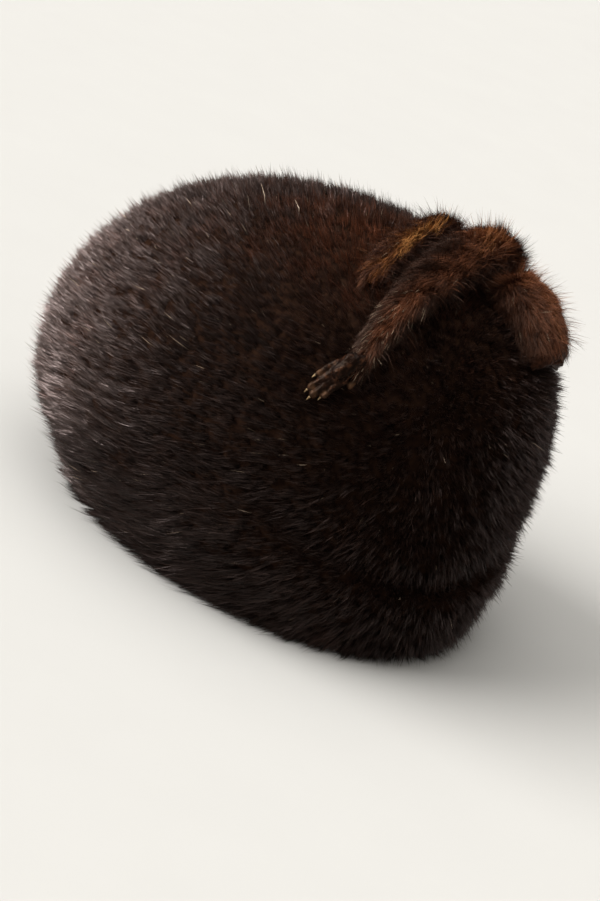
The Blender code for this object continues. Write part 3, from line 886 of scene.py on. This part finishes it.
def knuckle_and_tip(start, end, radius):
    """Two short rods that swell a toe or thumb over its middle and at its end."""
    way = end - start
    knuckle = start + way * KNUCKLE_AT
    rise = [unit(knuckle) * height for height in KNUCKLE_RISE]
    tip = end + unit(way) * TIP_REACH
    return [
        rod(knuckle + rise[0], knuckle + rise[1] + way * KNUCKLE_LENGTH,
            *(radius * share for share in KNUCKLE_RADII)),
        rod(tip - unit(way) * 2 * TIP_REACH, tip, *(radius * share for share in TIP_RADII)),
    ]


def claw(start, direction, down):
    """(points, triangles) of a curved claw: circles that shrink along a parabola bent down."""
    shares = np.linspace(0, LAST_CLAW_RING, CLAW_RINGS)
    share = shares[:, None]
    line = start + CLAW_LENGTH * (direction * share + down * (CLAW_HOOK * share**2))
    round_ = circle(unit(np.cross(direction, down)), down, CLAW_SIDES)
    rings = line[:, None] + round_ * (CLAW_RADIUS * (1 - shares) ** CLAW_TAPER)[:, None, None]
    tip = start + CLAW_LENGTH * (direction + down * CLAW_HOOK)
    points = np.vstack([rings.reshape(-1, 3), start - direction * CLAW_ROOT, tip])
    return points, closed_rings(CLAW_RINGS, CLAW_SIDES)


def remeshed(points, triangles):
    """(points, faces, normals) of one skin over overlapping bodies, by Blender's voxel remesh."""
    mesh = bpy.data.meshes.new("limbs")
    mesh.from_pydata(points.tolist(), [], triangles.tolist())
    thing = in_scene("limbs", mesh)
    fuse = thing.modifiers.new("fuse", "REMESH")
    fuse.mode, fuse.voxel_size = "VOXEL", PAW_VOXEL
    relax = thing.modifiers.new("relax", "SMOOTH")
    relax.factor, relax.iterations = SMOOTHING, SMOOTHINGS
    fused = thing.evaluated_get(bpy.context.evaluated_depsgraph_get())
    skin = bpy.data.meshes.new_from_object(fused)
    found, normals = np.empty((2, len(skin.vertices) * 3), np.float32)
    skin.vertices.foreach_get("co", found)
    skin.vertex_normals.foreach_get("vector", normals)
    corners = np.empty(len(skin.loops), np.int32)
    skin.loops.foreach_get("vertex_index", corners)
    bpy.data.objects.remove(thing, do_unlink=True)
    found, normals = (values.reshape(-1, 3).astype(float) for values in (found, normals))
    return found, corners.reshape(-1, 4), normals


def paw():
    """The dried paw: limbs fused to one skin with shrunken folds, and a claw on each toe."""
    wrist, toes = (crown_point(*place) for place in (PAW_WRIST, PAW_TOES))
    along = unit(toes - wrist)
    across = unit(np.cross(unit((wrist + toes) / 2), along))
    bodies, claws, pads = [], [], []
    for name, at, side, end_at, end_side, radius, end_radius in PAW_LIMBS:
        start = lifted(wrist + along * at + across * side, radius + PAW_GAP)
        end = lifted(wrist + along * end_at + across * end_side, end_radius + PAW_GAP)
        bodies.append(rod(start, end, radius, end_radius * LIMB_TAPER))
        if name not in ("palm", "wrist"):
            pads.append(end + unit(end) * PAD_RISE)
            bodies.extend(knuckle_and_tip(start, end, end_radius))
        if name.startswith("toe"):
            way, up = unit(end - start), unit(end)
            root = end + way * end_radius * LIMB_TAPER + up * CLAW_RISE
            claws.append(claw(root, way, -up))
    skin, faces, normals = remeshed(*joined(bodies))
    ahead = ((skin - wrist) @ along)[:, None]
    phase = ahead[:, 0] * 2 * math.pi / FOLD_SPACING
    folds = FOLD_HEIGHT * np.sin(phase + relief(skin, FOLD_WANDER))
    creases = relief(skin - along * (ahead * CREASE_STRETCH), CREASES)
    skin = skin + normals * (folds + creases)[:, None]
    height = np.linalg.norm(skin, axis=1) - reach(unit(skin))
    skin = skin + unit(skin) * np.maximum(LEAST_PAW_GAP - height, 0)[:, None]
    # Paler skin on top of the toes' ends: partly worn tan skin, partly a painted highlight.
    apart = np.linalg.norm(skin[:, None] - np.array(pads)[None], axis=-1)
    worn_and_highlight = np.exp(-((apart / PAD_REACH) ** 2)).max(1) * (PAD_WORN_AND_HIGHLIGHT + relief(skin, PAD_PATCHES))
    piece = solid_piece("left_paw_skin", skin, faces, FINISH["dried_skin"], "dried_skin")
    layer = piece.data.attributes.new("worn_and_highlight", "FLOAT", "POINT")
    layer.data.foreach_set("value", np.clip(worn_and_highlight, 0, 1).astype(np.float32))
    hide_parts("left_paw")
    horn = solid_piece("left_paw_claws", *joined(claws), FINISH["claw_horn"], "dried_skin")
    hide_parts("left_paw")


def mottled(name, colours, patch, roughness, specular, grain, grain_depth, gloss_tint="#ffffff",
            worn_and_highlight_colour=None):
    """A dull natural surface: colour in soft patches of a real size, and grain that catches light.

    Where the piece's attribute of wear and painted highlight is 1, the colour is the paler one given
    for them."""
    material, tree, shader = new_material(name)
    place = add_node(tree, "ShaderNodeTexCoord").outputs["Object"]
    patches = add_node(tree, "ShaderNodeTexNoise",
                       {"Vector": place, "Scale": 1 / patch, "Detail": 4.0})
    tone = add_node(tree, "ShaderNodeValToRGB", {"Fac": patches.outputs["Fac"]},
                    [(at, linear(colour)) for at, colour in colours])
    colour = tone.outputs["Color"]
    if worn_and_highlight_colour:
        amount = add_node(tree, "ShaderNodeAttribute", attribute_name="worn_and_highlight")
        colour = add_node(tree, "ShaderNodeMix", {
            "Factor": amount.outputs["Fac"], 6: colour, 7: linear(worn_and_highlight_colour),
        }, data_type="RGBA").outputs[2]
    tree.links.new(colour, shader.inputs["Base Color"])
    gloss = add_node(tree, "ShaderNodeMapRange", {
        "Value": patches.outputs["Fac"], "From Min": 0.3, "From Max": 0.7,
        "To Min": roughness[1], "To Max": roughness[0],
    })
    tree.links.new(gloss.outputs["Result"], shader.inputs["Roughness"])
    grains = add_node(tree, "ShaderNodeTexNoise",
                      {"Vector": place, "Scale": 1 / grain, "Detail": 3.0})
    raised = add_node(tree, "ShaderNodeBump", {
        "Height": grains.outputs["Fac"], "Distance": grain_depth, "Strength": 1.0,
    })
    tree.links.new(raised.outputs["Normal"], shader.inputs["Normal"])
    shader.inputs["Specular IOR Level"].default_value = specular
    shader.inputs["Specular Tint"].default_value = linear(gloss_tint)
    return material


# Hair of the hat. Columns use, material, tones from dark to silvery, brightness of the roots,
# roughness, specular level, tint of the gloss.
FURS = (
    # Ranch mink: near-black brown guard hair, browner beside the trim, worn by the clumps in the
    # painted sheen, so that its strong gloss runs in streaks.
    ("dark_mink", "ranch_mink_guard_hair",
     ((0.0, "#120b08"), (0.5, "#22150f"), (0.93, "#5a301c"), (0.98, "#b8a48c")),
     0.1, 0.31, 1.0, "#f8dfd9"),
    # The same coat outside the painted sheen, where the gloss is faint.
    ("dull_mink", "ranch_mink_unstroked_hair",
     ((0.0, "#120b08"), (0.5, "#22150f"), (0.93, "#5a301c"), (0.98, "#8a7865")),
     0.14, 0.36, 0.28, "#f5dad4"),
    # Mink legs: reddish-brown plush, softer and duller than the back's fur.
    ("brown_mink", "brown_mink_guard_hair",
     ((0.0, "#130b08"), (0.4, "#2f190f"), (0.8, "#623721"), (0.93, "#80502e"), (0.98, "#94826c")),
     0.12, 0.48, 0.16, "#ffdcc4"),
    # Flank fur folded over: the same brown, golden along the crest, where its highlight is painted.
    ("golden_mink", "golden_mink_guard_hair",
     ((0.0, "#130b08"), (0.4, "#33190f"), (0.7, "#744522"), (0.93, "#ab7640"), (0.98, "#94826c")),
     0.12, 0.48, 0.16, "#ffdcc4"),
)
# Other surfaces. Columns use, material, colours, size of their patches, roughness of the palest and
# the darkest, specular level, size and depth of grain, tint of the gloss, colour of its wear and
# painted highlight.
SURFACES = (
    # Dense underfur: matt, so that the gaps between the guard hairs read as depth.
    ("dark_wool", "dark_mink_underfur", ((0.35, "#0f0806"), (0.65, "#1c110b")),
     3 * MM, (0.9, 1.0), 0.0, 0.4 * MM, 0.2 * MM),
    ("brown_wool", "brown_mink_underfur", ((0.35, "#1f0f08"), (0.65, "#341a0e")),
     3 * MM, (0.9, 1.0), 0.0, 0.4 * MM, 0.2 * MM),
    # Dressed pelt, flesh side: tan suede with darker handled patches.
    ("pelt_inside", "dressed_mink_pelt", ((0.3, "#59412c"), (0.7, "#7d6145")),
     14 * MM, (0.75, 0.9), 0.2, 0.6 * MM, 0.08 * MM),
    # Cut edge of the pelt: brown leather, fibrous and a little greasy.
    ("pelt_edge", "cut_pelt_leather", ((0.35, "#130a07"), (0.65, "#301b12")),
     2 * MM, (0.5, 0.75), 0.05, 0.3 * MM, 0.08 * MM, "#e0b898"),
    # Dried skin: shrivelled and dark, glossy where a bone stretches it, paler at each toe's end,
    # partly worn tan skin and partly a painted highlight.
    ("dried_skin", "dried_paw_skin", ((0.40, "#090403"), (0.54, "#120906"), (0.70, "#2c190f")),
     2.6 * MM, (0.16, 0.36), 0.055, 0.35 * MM, 0.08 * MM, "#f0c8a8", "#5a402d"),
    # Claw horn: pale at its worn places, smooth.
    ("claw_horn", "claw_horn", ((0.35, "#43321f"), (0.65, "#7d694c")),
     1.2 * MM, (0.3, 0.45), 0.15, 0.5 * MM, 0.02 * MM),
    # Seamless paper: almost white, matt, with the faint cloudiness of its pulp.
    ("floor", "pale_studio_paper", ((0.3, "#989692"), (0.7, "#999793")),
     60 * MM, (0.85, 0.95), 0.1, 0.5 * MM, 0.01 * MM),
)


def make_finishes():
    """Every material, kept under the first column of its row."""
    for kind, rows in ((fur_material, FURS), (mottled, SURFACES)):
        for use, *look in rows:
            FINISH[use] = kind(*look)


# Photograph's view of the hat, in its own pixels: the camera looks from the wearer's back left, a
# little above, and its picture is turned.
CAMERA_BEARING = math.radians(112)
CAMERA_ELEVATION = math.radians(21)
CAMERA_ROLL = math.radians(23)
CAMERA_DISTANCE = 1.5
METRES_PER_PIXEL = 0.52 * MM
TARGET = np.array([0.0, CROWN_AXIS_Y, 0.095])
TARGET_PIXEL = (325, 384)
PICTURE = (600, 901)
SENSOR = 36


def put(thing, right, up, back, place):
    """Puts a camera or lamp at its place, looking against its back direction."""
    rows = np.vstack([np.stack([right, up, back, place], -1), (0, 0, 0, 1)])
    thing.matrix_world = Matrix(rows.tolist())


def make_camera():
    """The photograph's camera, placed by bearing, elevation and distance, with its picture rolled.

    It is aimed off the target, which then falls on its own pixel at the photograph's scale."""
    a, e, r = CAMERA_BEARING, CAMERA_ELEVATION, CAMERA_ROLL
    back = np.array([math.sin(a) * math.cos(e), -math.cos(a) * math.cos(e), math.sin(e)])
    level = unit(np.cross(-back, (0.0, 0.0, 1.0)))
    upright = np.cross(level, -back)
    right = level * math.cos(r) + upright * math.sin(r)
    up = upright * math.cos(r) - level * math.sin(r)
    eye = TARGET + back * CAMERA_DISTANCE
    aim = TARGET + right * (PICTURE[0] / 2 - TARGET_PIXEL[0]) * METRES_PER_PIXEL
    aim = aim + up * (TARGET_PIXEL[1] - PICTURE[1] / 2) * METRES_PER_PIXEL
    z = unit(eye - aim)
    x = unit(np.cross(up, z))
    lens = bpy.data.cameras.new("camera")
    lens.sensor_width = SENSOR
    lens.lens = SENSOR * float(np.linalg.norm(eye - aim)) / (PICTURE[1] * METRES_PER_PIXEL)
    camera = in_scene("camera", lens)
    put(camera, x, np.cross(z, x), z, eye)
    bpy.context.scene.camera = camera


FLOOR_SIZE = 24
WORLD_COLOUR = "#f6f4f0"
WORLD_LIGHT = 0.62
# Columns name, direction from the hat, spread in degrees, strength.
LIGHTS = (
    ("key", (0.52, -0.72, 0.46), 54, 9.0),
    ("top", (0.05, -0.22, 0.97), 70, 3.1),
)


def soft_light(name, direction, spread, strength):
    """A far white softbox: parallel light from a direction, spread over an angle in degrees."""
    light = bpy.data.lights.new(name, "SUN")
    light.energy, light.angle = strength, math.radians(spread)
    z = unit(np.array(direction))
    x = unit(np.cross((0.0, 0.0, 1.0), z))
    put(in_scene(name, light), x, np.cross(z, x), z, TARGET + z)


def make_studio():
    """The floor that the hat stands on, the even light of the room, and the softboxes."""
    bpy.ops.mesh.primitive_plane_add(size=FLOOR_SIZE)
    plane = bpy.context.object
    plane.name = "floor"
    plane.data.materials.append(FINISH["floor"])
    world = bpy.data.worlds.new("studio")
    world.use_nodes = True
    room = world.node_tree.nodes["Background"]
    room.inputs["Color"].default_value = linear(WORLD_COLOUR)
    room.inputs["Strength"].default_value = WORLD_LIGHT
    bpy.context.scene.world = world
    for row in LIGHTS:
        soft_light(*row)
    bpy.context.scene.view_settings.view_transform = "Standard"


make_camera()
make_finishes()
make_studio()
crown_undercoat()
crown_fur()
strips()
paw()
